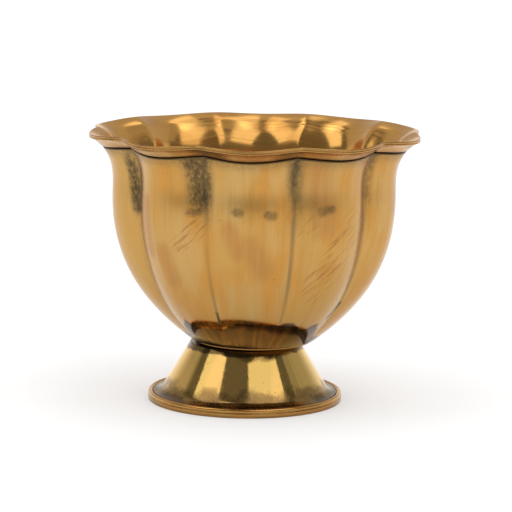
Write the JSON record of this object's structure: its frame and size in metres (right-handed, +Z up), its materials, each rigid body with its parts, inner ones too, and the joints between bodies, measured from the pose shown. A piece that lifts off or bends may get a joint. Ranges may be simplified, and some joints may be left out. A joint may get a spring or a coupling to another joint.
{
  "type": "footed fluted brass bowl",
  "caption": "Small footed brass bowl with a fluted body, a flared scalloped lip and a hollow pedestal foot, for floating flowers, water, offerings or a tea light.",
  "frame": {"origin": "on the bowl's axis, in the plane that the foot stands on", "axes": "+Z up along the bowl's axis; -Y is the front; +X is to the right as seen from the front"},
  "size_m": [0.0616, 0.063, 0.0513],
  "materials": {
    "bowl_brass": "satin, hand scraped, with darker patina in the creases",
    "lip_brass": "satin, worn bright along the top edge",
    "braze_metal": "dull and dark with tarnish",
    "ring_brass": "turned and polished",
    "foot_brass": "mirror polished, with fine pits"
  },
  "bodies": {
    "root": {"fluted_bowl": "bowl_brass", "lip_band": "lip_brass", "lip_braze": "braze_metal", "seat_ring": "ring_brass", "foot_braze": "braze_metal", "pedestal_foot": "foot_brass", "foot_ring": "ring_brass"}
  },
  "joints": []
}
